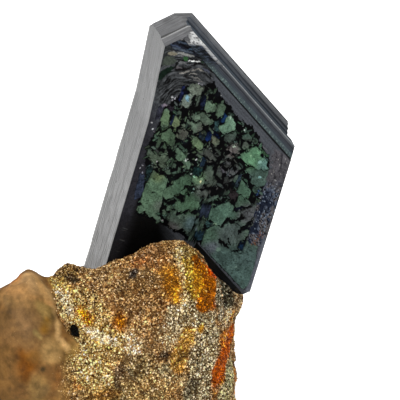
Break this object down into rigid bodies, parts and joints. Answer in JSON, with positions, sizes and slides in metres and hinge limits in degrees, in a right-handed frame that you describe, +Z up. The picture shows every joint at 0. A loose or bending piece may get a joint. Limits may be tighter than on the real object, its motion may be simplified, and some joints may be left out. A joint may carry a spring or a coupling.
{
  "type": "vivianite crystal on matrix",
  "caption": "Dark blue-green vivianite blade crystal standing in a loose piece of brown drusy matrix rock, cut flat underneath to rest on a shelf.",
  "frame": {"origin": "on the flat underside of the matrix rock, in its middle", "axes": "+Z up from the flat underside, +X to the right as the picture shows the specimen, +Y away from the camera"},
  "size_m": [0.0726, 0.0516, 0.0863],
  "materials": {
    "vivianite": "glassy, nearly opaque dark green to blue-black",
    "matrix_rock": "drusy, sparkling golden brown with orange stains"
  },
  "bodies": {
    "root": {"vivianite_crystal": "vivianite", "matrix": "matrix_rock"}
  },
  "joints": []
}
